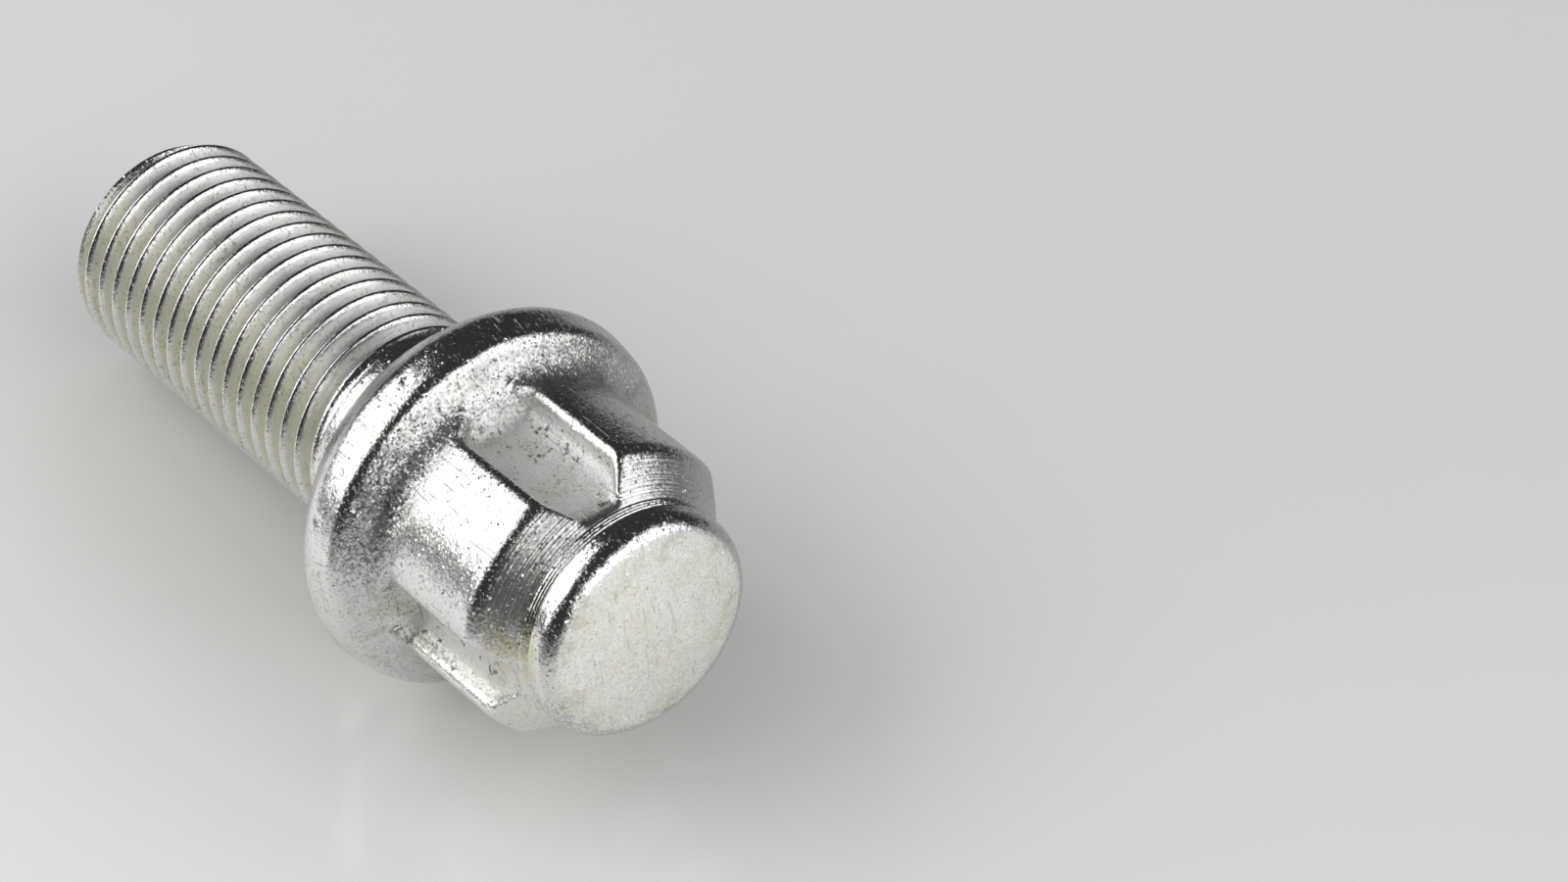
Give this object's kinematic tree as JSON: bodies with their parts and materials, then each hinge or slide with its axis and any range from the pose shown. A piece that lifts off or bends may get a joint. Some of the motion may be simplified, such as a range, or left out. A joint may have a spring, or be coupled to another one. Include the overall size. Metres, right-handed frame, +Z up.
{
  "type": "locking wheel bolt",
  "caption": "Locking wheel bolt: a fine-threaded shank, a ball seat under a round flange, and a fluted head with unevenly spaced key grooves and a domed nose. Fastens a car wheel.",
  "frame": {"origin": "on the ground, below the middle of the bolt's length, where it lies on its side", "axes": "+Z up, +X level along the bolt towards its nose; the bolt's own axis rises from the shank's end to the nose"},
  "size_m": [0.0508, 0.024, 0.0238],
  "materials": {
    "zinc_plated_steel": "bright zinc plate, lightly worn"
  },
  "bodies": {
    "root": {"locking_wheel_bolt": "zinc_plated_steel"}
  },
  "joints": []
}
